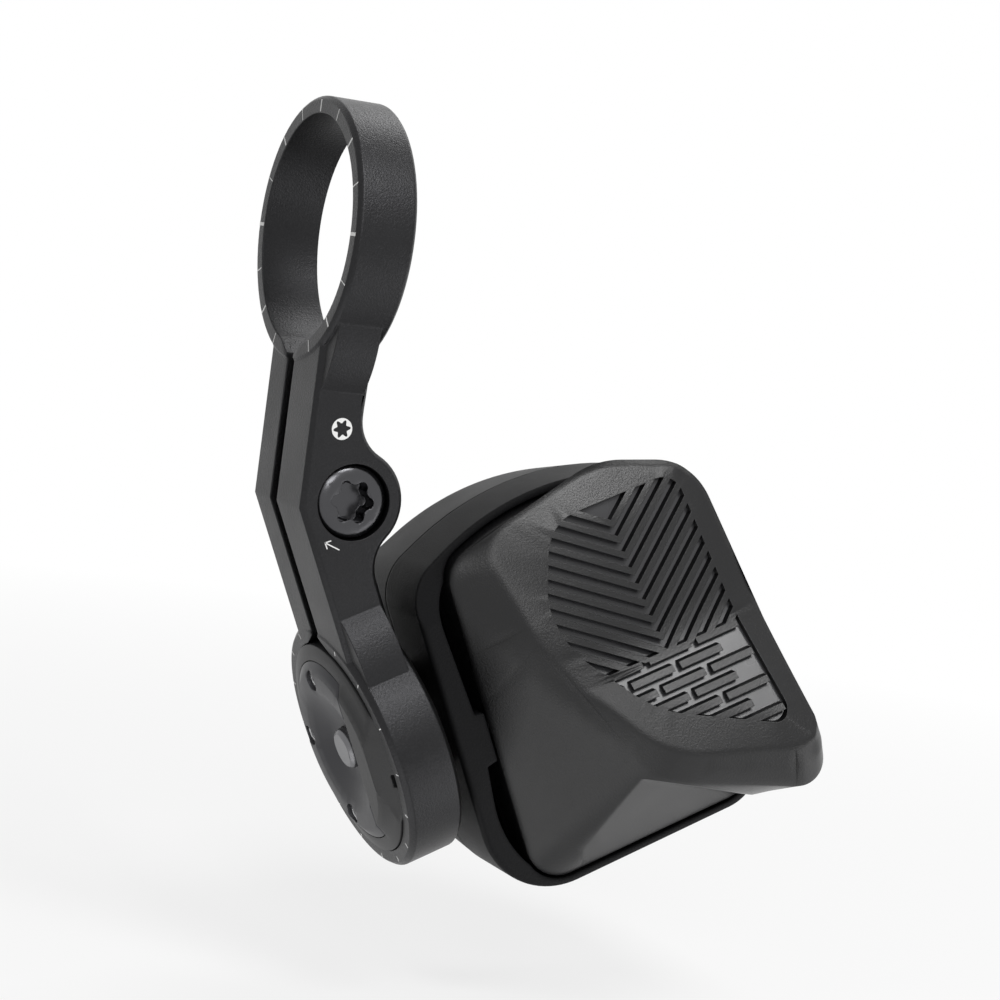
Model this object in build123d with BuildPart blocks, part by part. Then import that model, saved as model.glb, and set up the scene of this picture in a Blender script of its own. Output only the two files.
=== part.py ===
from build123d import *
from math import asin, atan, cos, hypot, radians, sin, sqrt, tan
import os

# An electronic shift controller for a flat handlebar, in millimetres.
# The origin is the centre of the handlebar bore. X runs along the handlebar, -Y faces the bolt
# head and the rider's thumb, and +Z points from the pod to the handlebar.
# The pod has a frame of its own at the centre of its boss: "across" runs along the boss axis away
# from the clamp, "up" points towards the handlebar and "out" points at the rider, which is -Y.

os.makedirs("parts", exist_ok=True)

# Handlebar ring
bar_diameter = 22.2
bar_ring_width = 6.0
bar_ring_wall = 1.73
bar_ring_chamfer = 0.4

# Pod ring
boss_diameter = 22.1
boss_clearance = 0.05
pod_ring_width = 5.85
pod_ring_wall = 1.8
pod_ring_chamfer = 0.5
pod_offset = 11.2
pod_drop = 49.0
pod_tilt = 25.5

# Shank between the rings
shank_front = 7.4
shank_back = 5.5
shank_recess = 0.2
shank_far_side = 2.5
shank_chamfer = 0.45
shank_front_blend = 10.0
shank_flare = 3.5
slit_width = 1.7
notch_half_width = 7.7
notch_reach = 4.0
eye_blend = 4.0

# Clamp bolt
bolt_across = 2.5
bolt_down = 25.1
bolt_diameter = 5.0
bolt_hole_clearance = 0.15
bolt_head_diameter = 7.0
bolt_head_height = 3.2
bolt_head_depth = 0.3
bolt_head_clearance = 0.18
bolt_eye_wall = 1.45
bolt_tip_gap = 0.5
socket_size = 4.4

# Pod housing
housing_left = 5.2
housing_right = 37.6
housing_low = 20.1
housing_top = 19.4
housing_arch = 30.0
housing_corner = 8.5
housing_right_corner = 5.4
housing_shoulder = 5.0
shoulder_room = 0.9
housing_back = 11.0
housing_rim = 8.0
rim_fall_start = 11.0
rim_fall = 0.22
housing_wall = 1.6
back_wall = 2.4
back_taper = 1.9
back_taper_left = 0.3
back_taper_low = 1.0
left_wall = 3.65
back_round = 2.5
rim_round = 0.5
cavity_corner = 6.0
cavity_right_corner = 3.8
cavity_shoulder = 3.4
deck_bottom = 0.6
deck_top = 2.0
crescent_depth = 1.55
crescent_margin = 2.6

# Boss that the pod ring grips
boss_face = 3.12
boss_shoulder = 2.6
neck_radius = 5.6
collar_radius = 6.6
collar_start = 6.2
collar_end = 7.0
boss_dome = 1.0
dome_flat_radius = 8.3
plate_radius = 9.5
plate_gap = 0.06
plate_seam_rise = 0.4
plate_seat = 1.9
plate_chord = 4.9
facet_start = 8.0
facet_drop = 1.3
dish_radius = 6.7
dish_depth = 1.4
button_pocket_radius = 4.5
button_pocket_floor = 1.8
wire_bore_radius = 1.2
notch_size = 1.3

# Small screws of the boss plate
plate_screw_ring = 7.55
plate_screw_side_angle = 77.0
plate_screw_head_radius = 0.95
plate_screw_head_height = 0.7
plate_screw_sink = 0.3
plate_screw_shank_radius = 0.55
plate_screw_length = 3.4

# Function button
button_radius = 2.1
button_clearance = 0.05
button_proud = 0.95
button_chamfer = 0.35
button_flange_radius = 2.8
button_flange_height = 0.5
button_stem_radius = 1.3
button_travel = 0.4
button_switch_size = 3.6
button_switch_height = 1.0
button_board_height = 0.6
button_seal_outer = 4.4

# Rocker
rocker_gap = 0.35
rocker_left = 9.2
rocker_right = 35.9
rocker_low = 18.9
rocker_base_corner = 4.0
rocker_shoulder = 3.2
pocket_rim = 0.75
skirt_bottom = 3.4
skirt_wall = 1.8
face_top_height = 8.9
face_top_up = 18.9
face_top_slope = 0.36
face_low_slope = 0.67
valley_up = 2.7
valley_round = 20.0
face_wall = 2.5
wall_bulge = 0.2
wall_bulge_up = 4.0
wall_bulge_round = 200.0
crown_slope = 0.5
crown_lift = 0.6
crown_corners = [(22.4, -5.7), (37.0, -10.4), (37.0, 18.0), (28.0, 20.9), (16.3, 18.4), (16.4, 8.5)]
crown_rounds = [9.0, 2.5, 5.5, 10.5, 3.5, 10.0]
lip_slope = 0.366
lip_drop = 0.26
lip_corners = [(20.0, -9.0), (37.8, -16.6), (37.7, 16.6), (27.5, 20.0), (13.0, 17.4), (14.3, 7.5)]
lip_rounds = [9.0, 3.0, 5.5, 10.5, 3.5, 10.0]
corner_insets = [(1, 1), (-1, 1), (-1, -1), (0, -1), (1, -1), (1, 0)]

# Scoop under the paddle's nose
scoop_angle = 42.0
scoop_low = 18.2
scoop_lift = 0.8
scoop_height = 16.0
scoop_lean = 0.2
scoop_outline = [(14.6, -7.0), (13.4, 7.5), (15.5, 13.0), (18.9, 13.2), (36.5, -4.0), (36.5, -7.0)]
scoop_rounds = [1.0, 3.0, 1.5, 2.5, 1.0, 1.0]

# Grip pad
pad_depth = 0.75
pad_right = 34.9
pad_outline = [(34.9, -8.3), (34.9, 16.7), (20.4, 16.7), (16.6, 9.5), (17.2, 5.0), (22.5, -2.6)]
pad_rounds = [1.5, 2.0, 5.0, 6.0, 8.0, 10.0]
rib_width = 0.62
rib_pitch = 1.32
rib_reach = 20.0
rib_split = 1.5
chevron_middle = 26.5
chevron_angle = 35.0
chevron_rows = 13
chevron_rows_below = 4
bar_rows = 8
bar_count = 4
bar_length = 5.6
bar_gap = 0.75

# Rocker bearing
pivot_up = -2.0
pivot_out = 4.6
pivot_radius = 1.0
pivot_clearance = 0.05
pivot_barrel_radius = 2.1
pivot_hole_radius = 1.5
pin_left = 7.3
pin_right = 37.4
carrier_gap = 0.25
carrier_bottom = 3.6
carrier_thickness = 1.6

# Paddle screw
paddle_screw_across = 25.0
paddle_screw_up = 9.5
paddle_screw_radius = 1.0
paddle_screw_head_radius = 1.9
paddle_screw_head_height = 1.0
paddle_screw_length = 5.0
paddle_post_radius = 2.6

# Plungers and switches
plunger_across = 21.0
plunger_arm = 10.0
plunger_radius = 1.6
plunger_clearance = 0.05
plunger_top_gap = 0.15
plunger_rest_gap = 0.5
seal_wall = 1.0
seal_height = 0.7
switch_size = 4.5
switch_height = 1.2
switch_stem_radius = 1.0
switch_stem_height = 0.4

# Circuit board and battery
board_front = -2.6
board_thickness = 1.0
board_gap = 0.5
board_notch_radius = 2.7
shield_width = 9.0
shield_height = 7.0
shield_thickness = 1.6
shield_across = 28.8
shield_up = -2.0
cell_radius = 10.0
cell_thickness = 3.2
cell_centre = 22.4
cell_up = -0.6
cell_clearance = 0.3
cup_wall = 1.2
cup_floor = 0.8
contact_thickness = 0.3
contact_radius = 6.0
cover_radius = 11.6
cover_clearance = 0.12
cover_thickness = 1.0
cover_ledge = 0.3
cover_opening_radius = 10.4
cover_plug_radius = 10.2
cover_ear_length = 30.4
cover_ear_width = 6.0
cover_ear_screw = 13.7
cover_screw_radius = 0.7
cover_screw_head_radius = 1.3
cover_screw_head_height = 0.6

# Shell joint
gasket_width = 0.7
gasket_height = 0.5
gasket_inset = 0.45
shell_screw_left = 12.6
shell_screw_right = 32.0
shell_screw_top = 11.4
shell_screw_low = 14.8
shell_post_radius = 2.0
shell_screw_radius = 0.8
shell_screw_hole_radius = 0.9
shell_screw_head_radius = 1.5
shell_screw_head_height = 1.0
shell_screw_sink = 0.4

# Sizes that follow from the values above
bar_radius = bar_diameter / 2
bar_ring_radius = bar_radius + bar_ring_wall
boss_radius = boss_diameter / 2
pod_bore_radius = boss_radius + boss_clearance
pod_ring_radius = pod_bore_radius + pod_ring_wall
bolt_head_hole_radius = bolt_head_diameter / 2 + bolt_head_clearance
eye_radius = bolt_head_hole_radius + bolt_eye_wall
tilt = radians(pod_tilt)
boss_top = boss_face + boss_dome
housing_middle = (housing_left + housing_right) / 2
pocket_left = rocker_left - rocker_gap
pocket_right = rocker_right + rocker_gap
pocket_low = rocker_low + rocker_gap
pocket_corner = rocker_base_corner + rocker_gap
pocket_shoulder = rocker_shoulder + rocker_gap
rocker_arch = housing_arch - pocket_rim - rocker_gap
arch_centre = housing_top - housing_arch
shank_left = bar_ring_width / 2 - shank_recess
valley_out = face_top_height + face_top_slope * (face_top_up - valley_up)

# The pod's frame
across = Vector(cos(tilt), 0, sin(tilt))
up = Vector(-sin(tilt), 0, cos(tilt))
pod_centre = Vector(pod_offset, 0, -pod_drop)
pod_front = Plane(origin=pod_centre, x_dir=across, z_dir=(0, -1, 0))
pod_side = Plane(origin=pod_centre, x_dir=up, z_dir=across)
pod_top = Plane(origin=pod_centre, x_dir=across, z_dir=up)
swivel_axis = Axis(pod_centre, across)


def tilted_point(a, c):
    """World X and Z of a point that lies a across and c up in the pod's frame."""
    return (pod_offset + a * cos(tilt) - c * sin(tilt), -pod_drop + a * sin(tilt) + c * cos(tilt))


def face_out(c):
    """Height of the paddle's face above the pod's centre plane, at height c."""
    if c > valley_up:
        return valley_out - face_top_slope * (c - valley_up)
    return valley_out + face_low_slope * (valley_up - c)


# Clamp: two slit rings and a kinked shank, machined from one piece
kink_down = -pod_drop + ((shank_left + pod_offset) * cos(tilt) - shank_left) / sin(tilt)
bend_down = -pod_drop + (shank_far_side - (shank_far_side - pod_offset) * cos(tilt)) / sin(tilt)
shank_low = pod_bore_radius - 2
shank_high = -bar_radius + 2
shank_outline = [
    (-shank_left, shank_high),
    (-shank_left, kink_down),
    tilted_point(-shank_left, shank_low),
    tilted_point(shank_far_side, shank_low),
    (shank_far_side, bend_down),
    (shank_far_side, -bar_ring_radius - shank_flare),
    (bar_ring_width / 2 - bar_ring_chamfer, -bar_ring_radius),
    (bar_ring_width / 2 - bar_ring_chamfer, shank_high),
]

# Each ring as a plane across its axis, with x towards the shank and y towards the rider
bar_side = Plane(origin=(0, 0, 0), x_dir=(0, 0, -1), z_dir=(-1, 0, 0))
shank_width = shank_left + shank_far_side - 2 * shank_chamfer
ring_sides = [
    (bar_side.offset(shank_chamfer - shank_far_side), bar_ring_radius),
    (pod_side.offset(shank_chamfer - shank_left), pod_ring_radius),
]

with BuildPart() as clamp:
    with BuildSketch(Plane.XZ.offset(-shank_back)) as shank_face:
        with BuildLine():
            Polyline(*shank_outline, close=True)
        make_face()
        with Locations((bolt_across, -bolt_down)):
            Circle(eye_radius)
        eye_roots = shank_face.vertices().filter_by(
            lambda v: v.X > bolt_across - 1 and abs(hypot(v.X - bolt_across, v.Y + bolt_down) - eye_radius) < 0.01
        )
        fillet(eye_roots, eye_blend)
    extrude(amount=shank_front + shank_back)
    chamfer(clamp.faces().filter_by(Axis.Y).edges(), shank_chamfer)
    # Blends between the rings and the front of the shank
    for ring_side, ring_radius in ring_sides:
        blend_run = sqrt((ring_radius + shank_front_blend) ** 2 - (shank_front + shank_front_blend) ** 2)
        share = ring_radius / (ring_radius + shank_front_blend)
        ring_end = (blend_run * share, (shank_front + shank_front_blend) * share)
        with BuildSketch(ring_side):
            with BuildLine():
                RadiusArc(ring_end, (blend_run, shank_front), shank_front_blend)
                Polyline(
                    (blend_run, shank_front),
                    (blend_run, shank_front - shank_width / 4),
                    (ring_end[0], shank_front - shank_width / 4),
                    ring_end,
                )
            make_face()
        extrude(amount=shank_width)
    with BuildSketch(Plane.XZ):
        with BuildLine():
            half = bar_ring_width / 2
            Polyline(
                (-half, 0),
                (-half, bar_ring_radius - bar_ring_chamfer),
                (-half + bar_ring_chamfer, bar_ring_radius),
                (half - bar_ring_chamfer, bar_ring_radius),
                (half, bar_ring_radius - bar_ring_chamfer),
                (half, 0),
                close=True,
            )
        make_face()
    revolve(axis=Axis.X)
    with BuildSketch(pod_top):
        with BuildLine():
            half = pod_ring_width / 2
            Polyline(
                (-half, 0),
                (-half, pod_ring_radius - pod_ring_chamfer),
                (-half + pod_ring_chamfer, pod_ring_radius),
                (half - pod_ring_chamfer, pod_ring_radius),
                (half, pod_ring_radius - pod_ring_chamfer),
                (half, 0),
                close=True,
            )
        make_face()
    revolve(axis=swivel_axis)
    # Bores, slit and the two notches where the slit opens into them
    with BuildSketch(Plane.YZ):
        Circle(bar_radius)
        with BuildLine():
            notch_start = sqrt(bar_radius**2 - notch_half_width**2) - 0.3
            Polyline(
                (-notch_half_width, -notch_start),
                (-slit_width / 2, -notch_start - notch_reach - 0.3),
                (slit_width / 2, -notch_start - notch_reach - 0.3),
                (notch_half_width, -notch_start),
                close=True,
            )
        make_face()
    extrude(amount=bar_ring_width, both=True, mode=Mode.SUBTRACT)
    with BuildSketch(pod_side):
        Circle(pod_bore_radius)
        with BuildLine():
            Polyline(
                (notch_start, -notch_half_width),
                (notch_start + notch_reach + 0.3, -slit_width / 2),
                (notch_start + notch_reach + 0.3, slit_width / 2),
                (notch_start, notch_half_width),
                close=True,
            )
        make_face()
    extrude(amount=pod_ring_width, both=True, mode=Mode.SUBTRACT)
    with BuildSketch(Plane.XZ):
        with BuildLine():
            Polyline(
                (-3 * shank_left, -bar_radius),
                (3 * eye_radius, -bar_radius),
                tilted_point(3 * eye_radius, pod_bore_radius),
                tilted_point(-3 * shank_left, pod_bore_radius),
                close=True,
            )
        make_face()
    extrude(amount=slit_width / 2, both=True, mode=Mode.SUBTRACT)
    # Bolt seat: counterbore, clearance hole in the front half, tapped hole in the back half
    with Locations(Plane.XZ.offset(shank_front)):
        with Locations((bolt_across, -bolt_down)):
            CounterBoreHole(
                bolt_diameter / 2 + bolt_hole_clearance,
                bolt_head_hole_radius,
                bolt_head_depth + bolt_head_height,
                depth=shank_front,
            )
            Hole(bolt_diameter / 2, depth=shank_front + shank_back)
clamp.part.label = "clamp"
export_step(clamp.part, "parts/clamp.step")

# Clamp bolt: cylindrical head with a six-lobe socket
bolt_seat = shank_front - bolt_head_depth - bolt_head_height
with BuildPart() as clamp_bolt:
    with BuildSketch(Plane.XZ.offset(bolt_seat)):
        with Locations((bolt_across, -bolt_down)):
            Circle(bolt_head_diameter / 2)
    extrude(amount=bolt_head_height)
    chamfer(clamp_bolt.faces().sort_by(Axis.Y)[0].edges(), 0.35)
    with BuildSketch(Plane.XZ.offset(bolt_seat)):
        with Locations((bolt_across, -bolt_down)):
            Circle(bolt_diameter / 2)
    extrude(amount=-(bolt_seat + shank_back - bolt_tip_gap))
    chamfer(clamp_bolt.faces().sort_by(Axis.Y)[-1].edges(), 0.4)
    with BuildSketch(Plane.XZ.offset(shank_front - bolt_head_depth)) as socket:
        with Locations((bolt_across, -bolt_down)):
            Circle(socket_size * 0.38)
            with PolarLocations(socket_size * 0.375, 6):
                Circle(socket_size * 0.125)
        fillet(socket.vertices(), socket_size * 0.06)
    extrude(amount=-bolt_head_height * 0.65, mode=Mode.SUBTRACT)
clamp_bolt.part.label = "clamp_bolt"
export_step(clamp_bolt.part, "parts/clamp_bolt.step")

# Swivel boss: the round end of the pod that the lower ring grips
plate_inner_radius = plate_radius - plate_gap
with BuildPart() as swivel_boss:
    with BuildSketch(pod_top):
        with BuildLine():
            Polyline(
                (-boss_top, 0),
                (-boss_top, dome_flat_radius),
                (-boss_face - plate_seam_rise, plate_radius),
                (-boss_face, boss_radius),
                (boss_shoulder, boss_radius),
                (boss_shoulder, neck_radius),
                (collar_start, neck_radius),
                (collar_start, collar_radius),
                (collar_end, collar_radius),
                (collar_end, 0),
                close=True,
            )
        make_face()
    revolve(axis=swivel_axis)
    # Seat of the plate, with one straight side
    with BuildSketch(pod_side.offset(-boss_top)):
        Circle(plate_radius)
        with Locations((0, plate_chord + plate_radius)):
            Rectangle(3 * plate_radius, 2 * plate_radius, mode=Mode.SUBTRACT)
    extrude(amount=boss_top - plate_seat, mode=Mode.SUBTRACT)
    # Sloping facet beside the seat
    with BuildSketch(pod_top.offset(-boss_radius)):
        with BuildLine():
            Polyline(
                (-boss_top - 1, -facet_start),
                (-boss_top, -facet_start),
                (-boss_face + facet_drop, -boss_radius - 0.2),
                (-boss_top - 1, -boss_radius - 0.2),
                close=True,
            )
        make_face()
    extrude(amount=2 * boss_radius, mode=Mode.SUBTRACT)
    # Index notch in the facet's rim
    with BuildSketch(pod_side.offset(-boss_top)):
        with Locations((-notch_size, boss_radius)):
            Rectangle(notch_size, 2 * notch_size)
    extrude(amount=boss_top - boss_face + facet_drop + notch_size, mode=Mode.SUBTRACT)
    # Pockets for the button's switch and the wires
    with BuildSketch(pod_side.offset(-plate_seat)):
        Circle(button_pocket_radius)
    extrude(amount=plate_seat + button_pocket_floor, mode=Mode.SUBTRACT)
    with BuildSketch(pod_side):
        Circle(wire_bore_radius)
    extrude(amount=collar_end, mode=Mode.SUBTRACT)
    # Tapped holes of the plate screws
    with BuildSketch(pod_side.offset(-plate_seat)):
        for turn in (-plate_screw_side_angle, 0, plate_screw_side_angle):
            with Locations((plate_screw_ring * sin(radians(turn)), -plate_screw_ring * cos(radians(turn)))):
                Circle(plate_screw_shank_radius)
    extrude(amount=plate_screw_length, mode=Mode.SUBTRACT)
swivel_boss.part.label = "swivel_boss"
export_step(swivel_boss.part, "parts/swivel_boss.step")


def arched_corners(left, right, low, arch, shoulder):
    """Corners of an outline with a straight foot and an arched top, and the arch's height at its left end."""
    half = min(housing_middle - left, right - housing_middle)
    slope = asin((half - shoulder_room * shoulder) / arch)
    left_top = arch_centre + (arch - (housing_middle - left) * sin(slope)) / cos(slope)
    right_top = arch_centre + (arch - (right - housing_middle) * sin(slope)) / cos(slope)
    peak = arch_centre + arch / cos(slope)
    return [(left, -low), (right, -low), (right, right_top), (housing_middle, peak), (left, left_top)]


def arched_outline(left, right, low, arch, rounds):
    """Face of an arched outline with rounds at the low left, low right and both shoulders."""
    with BuildSketch() as outline:
        with BuildLine():
            FilletPolyline(
                *arched_corners(left, right, low, arch, rounds[2]),
                radius=[rounds[0], rounds[1], rounds[2], arch, rounds[2]],
                close=True,
            )
        make_face()
    return outline.sketch


def housing_outline(inset=0):
    """Outline of the pod housing, drawn inset from its outer wall."""
    return arched_outline(
        housing_left + inset,
        housing_right - inset,
        housing_low - inset,
        housing_arch - inset,
        [housing_corner - inset, housing_right_corner - inset, housing_shoulder - inset],
    )


def cavity_outline(inset=0):
    """Outline of the sealed cavity behind the deck."""
    return arched_outline(
        housing_left + left_wall + inset,
        housing_right - housing_wall - inset,
        housing_low - housing_wall - inset,
        housing_arch - housing_wall - inset,
        [cavity_corner - inset, cavity_right_corner - inset, cavity_shoulder - inset],
    )


def rocker_outline(inset=0):
    """Outline of the rocker's base, drawn inset from its outer wall."""
    return arched_outline(
        rocker_left + inset,
        rocker_right - inset,
        rocker_low - inset,
        rocker_arch - inset,
        [rocker_base_corner - inset, rocker_base_corner - inset, rocker_shoulder - inset],
    )


def cover_outline(gap=0, mode=Mode.ADD):
    """Disc with two ears: the outline of the battery cover."""
    with Locations((cell_centre, cell_up)):
        Circle(cover_radius + gap, mode=mode)
        SlotOverall(cover_ear_length + 2 * gap, cover_ear_width + 2 * gap, rotation=90, mode=mode)


shell_screw_spots = [
    (shell_screw_left, shell_screw_top),
    (shell_screw_right, shell_screw_top),
    (shell_screw_left, -shell_screw_low),
    (shell_screw_right, -shell_screw_low),
]
cover_screw_spots = [(cell_centre, cell_up + cover_ear_screw), (cell_centre, cell_up - cover_ear_screw)]
plunger_spots = [(plunger_across, pivot_up + plunger_arm), (plunger_across, pivot_up - plunger_arm)]
boss_socket = [
    (0, 0),
    (0, neck_radius + boss_clearance),
    (collar_start - boss_clearance, neck_radius + boss_clearance),
    (collar_start - boss_clearance, collar_radius + boss_clearance),
    (collar_end + boss_clearance, collar_radius + boss_clearance),
    (collar_end + boss_clearance, wire_bore_radius),
    (pocket_left + 0.5, wire_bore_radius),
    (pocket_left + 0.5, 0),
]

# Bezel: the front shell, with the pocket of the rocker and the deck under it
tab_top = pivot_up + crescent_margin
tab_low = pivot_up - crescent_margin
crescent_left = pocket_left - crescent_depth
crescent_low = pocket_low - pocket_corner * 0.55
pocket_corners = arched_corners(pocket_left, pocket_right, pocket_low, rocker_arch + rocker_gap, pocket_shoulder)
crescent_top = pocket_corners[4][1] - pocket_shoulder * 0.55
with BuildPart() as bezel:
    with BuildSketch(pod_front):
        add(housing_outline())
    extrude(amount=housing_rim)
    fillet(bezel.faces().sort_by(Axis.Y)[0].edges(), rim_round)
    # The rim falls away under the paddle's upper edge
    with BuildSketch(pod_side.offset(housing_left)):
        with BuildLine():
            Polyline(
                (rim_fall_start, housing_rim),
                (housing_low + 1, housing_rim - rim_fall * (housing_low + 1 - rim_fall_start)),
                (housing_low + 1, housing_rim + 1),
                (rim_fall_start, housing_rim + 1),
                close=True,
            )
        make_face()
    extrude(amount=housing_right, mode=Mode.SUBTRACT)
    with BuildSketch(pod_front.offset(deck_top)):
        add(rocker_outline(-rocker_gap))
        with BuildLine():
            upper_side = Line((crescent_left + 0.6, tab_top + 0.2), (crescent_left, crescent_top - 4))
            upper_turn = TangentArc((crescent_left, crescent_top - 4), (pocket_left + 1.2, crescent_top + 1.2),
                                    tangent=upper_side % 1)
            Line(upper_turn @ 1, (pocket_left + 1.2, tab_top))
            Line((pocket_left + 1.2, tab_top), (pocket_left, tab_top))
            Line((pocket_left, tab_top), (crescent_left + 0.6, tab_top + 0.2))
        make_face()
        with BuildLine():
            lower_side = Line((crescent_left + 0.4, tab_low - 0.2), (crescent_left, tab_low - 4))
            lower_turn = TangentArc((crescent_left, tab_low - 4), (pocket_left + 0.6, -crescent_low),
                                    tangent=lower_side % 1)
            Line(lower_turn @ 1, (pocket_left + 0.6, tab_low))
            Line((pocket_left + 0.6, tab_low), (pocket_left, tab_low))
            Line((pocket_left, tab_low), (crescent_left + 0.4, tab_low - 0.2))
        make_face()
    extrude(amount=housing_rim, mode=Mode.SUBTRACT)
    with BuildSketch(pod_front):
        add(cavity_outline())
        with Locations(*shell_screw_spots):
            Circle(shell_post_radius, mode=Mode.SUBTRACT)
    extrude(amount=deck_bottom, mode=Mode.SUBTRACT)
    with BuildSketch(pod_front):
        with Locations(*shell_screw_spots):
            Circle(shell_screw_radius)
    extrude(amount=deck_top - 0.3, mode=Mode.SUBTRACT)
    with BuildSketch(pod_front):
        with Locations(*plunger_spots):
            Circle(plunger_radius + plunger_clearance)
    extrude(amount=deck_top, mode=Mode.SUBTRACT)
    with BuildSketch(pod_side.offset(pin_left)):
        with Locations((pivot_up, pivot_out)):
            Circle(pivot_radius)
    extrude(amount=housing_right, mode=Mode.SUBTRACT)
    with BuildSketch(pod_top):
        with BuildLine():
            Polyline(*boss_socket, close=True)
        make_face()
    revolve(axis=swivel_axis, mode=Mode.SUBTRACT)
bezel.part.label = "bezel"
export_step(bezel.part, "parts/bezel.step")

# Back shell: tub with the battery opening, its cover's seat and four screw posts
recess_depth = cover_thickness + cover_ledge
with BuildPart() as back_shell:
    with BuildSketch(pod_front):
        add(housing_outline())
    with BuildSketch(pod_front.offset(-housing_back)):
        add(arched_outline(
            housing_left + back_taper_left,
            housing_right - back_taper,
            housing_low - back_taper_low,
            housing_arch - back_taper,
            [housing_corner, housing_right_corner, housing_shoulder],
        ))
    loft(ruled=True)
    fillet(back_shell.faces().sort_by(Axis.Y)[-1].edges(), back_round)
    with BuildSketch(pod_front.offset(-housing_back + back_wall)):
        add(cavity_outline(back_taper))
        with Locations(*shell_screw_spots, *cover_screw_spots):
            Circle(shell_post_radius, mode=Mode.SUBTRACT)
    extrude(amount=housing_back, mode=Mode.SUBTRACT)
    with BuildSketch(pod_front.offset(board_front - board_thickness - cup_floor)):
        with Locations(*cover_screw_spots):
            Circle(shell_post_radius + 0.1)
    extrude(amount=housing_back, mode=Mode.SUBTRACT)
    with BuildSketch(pod_front.offset(-housing_back)):
        cover_outline(cover_clearance)
    extrude(amount=recess_depth, mode=Mode.SUBTRACT)
    with BuildSketch(pod_front.offset(-housing_back)):
        with Locations((cell_centre, cell_up)):
            Circle(cover_opening_radius)
    extrude(amount=back_wall, mode=Mode.SUBTRACT)
    with BuildSketch(pod_front.offset(-housing_back)):
        with Locations(*cover_screw_spots):
            Circle(cover_screw_radius)
    extrude(amount=back_wall + 1.5, mode=Mode.SUBTRACT)
    with BuildSketch(pod_front.offset(-housing_back)):
        with Locations(*shell_screw_spots):
            Circle(shell_screw_hole_radius)
    extrude(amount=housing_back, mode=Mode.SUBTRACT)
    with BuildSketch(pod_front.offset(-housing_back)):
        with Locations(*shell_screw_spots):
            Circle(shell_screw_head_radius + 0.1)
    extrude(amount=shell_screw_sink + shell_screw_head_height, mode=Mode.SUBTRACT)
    with BuildSketch(pod_front):
        add(housing_outline(gasket_inset))
        add(housing_outline(gasket_inset + gasket_width), mode=Mode.SUBTRACT)
    extrude(amount=-gasket_height, mode=Mode.SUBTRACT)
    with BuildSketch(pod_top):
        with BuildLine():
            Polyline(*boss_socket, close=True)
        make_face()
    revolve(axis=swivel_axis, mode=Mode.SUBTRACT)
back_shell.part.label = "back_shell"
export_step(back_shell.part, "parts/back_shell.step")

# Gasket in the groove of the back shell, open where the boss passes through the wall
with BuildPart() as shell_gasket:
    with BuildSketch(pod_front):
        add(housing_outline(gasket_inset))
        add(housing_outline(gasket_inset + gasket_width), mode=Mode.SUBTRACT)
    extrude(amount=-gasket_height)
    with BuildSketch(pod_side):
        Circle(collar_radius + 3 * boss_clearance)
    extrude(amount=pocket_left, mode=Mode.SUBTRACT)
shell_gasket.part.label = "shell_gasket"
export_step(shell_gasket.part, "parts/shell_gasket.step")

# Four screws that hold the shells together
with BuildPart() as shell_screws:
    with BuildSketch(pod_front.offset(-housing_back + shell_screw_sink)):
        with Locations(*shell_screw_spots):
            Circle(shell_screw_head_radius)
    extrude(amount=shell_screw_head_height)
    with BuildSketch(pod_front.offset(-housing_back + shell_screw_sink)):
        with Locations(*shell_screw_spots):
            Circle(shell_screw_radius)
    extrude(amount=housing_back - shell_screw_sink + deck_top - 0.5)
    with BuildSketch(pod_front.offset(-housing_back + shell_screw_sink)):
        with Locations(*shell_screw_spots):
            RegularPolygon(shell_screw_head_radius * 0.45, 6)
    extrude(amount=shell_screw_head_height * 0.6, mode=Mode.SUBTRACT)
shell_screws.part.label = "shell_screws"
export_step(shell_screws.part, "parts/shell_screws.step")

# Battery cover with its plug, gasket and two screws
with BuildPart() as battery_cover:
    with BuildSketch(pod_front.offset(-housing_back)):
        cover_outline()
    extrude(amount=cover_thickness)
    with BuildSketch(pod_front.offset(-housing_back + cover_thickness)):
        with Locations((cell_centre, cell_up)):
            Circle(cover_plug_radius)
    extrude(amount=back_wall - cover_thickness)
    with BuildSketch(pod_front.offset(-housing_back)):
        with Locations(*cover_screw_spots):
            Circle(cover_screw_head_radius + 0.05)
    extrude(amount=cover_screw_head_height, mode=Mode.SUBTRACT)
    with BuildSketch(pod_front.offset(-housing_back)):
        with Locations(*cover_screw_spots):
            Circle(cover_screw_radius + 0.1)
    extrude(amount=cover_thickness, mode=Mode.SUBTRACT)
battery_cover.part.label = "battery_cover"
export_step(battery_cover.part, "parts/battery_cover.step")

with BuildPart() as cover_gasket:
    with BuildSketch(pod_front.offset(-housing_back + cover_thickness)):
        with Locations((cell_centre, cell_up)):
            Circle(cover_radius - 0.2)
            Circle(cover_opening_radius + 0.1, mode=Mode.SUBTRACT)
    extrude(amount=cover_ledge)
cover_gasket.part.label = "cover_gasket"
export_step(cover_gasket.part, "parts/cover_gasket.step")

with BuildPart() as cover_screws:
    with BuildSketch(pod_front.offset(-housing_back)):
        with Locations(*cover_screw_spots):
            Circle(cover_screw_head_radius)
    extrude(amount=cover_screw_head_height)
    with BuildSketch(pod_front.offset(-housing_back)):
        with Locations(*cover_screw_spots):
            Circle(cover_screw_radius)
    extrude(amount=back_wall + 1.2)
    with BuildSketch(pod_front.offset(-housing_back)):
        with Locations(*cover_screw_spots):
            RegularPolygon(cover_screw_head_radius * 0.45, 6)
    extrude(amount=cover_screw_head_height * 0.6, mode=Mode.SUBTRACT)
cover_screws.part.label = "cover_screws"
export_step(cover_screws.part, "parts/cover_screws.step")

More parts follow.
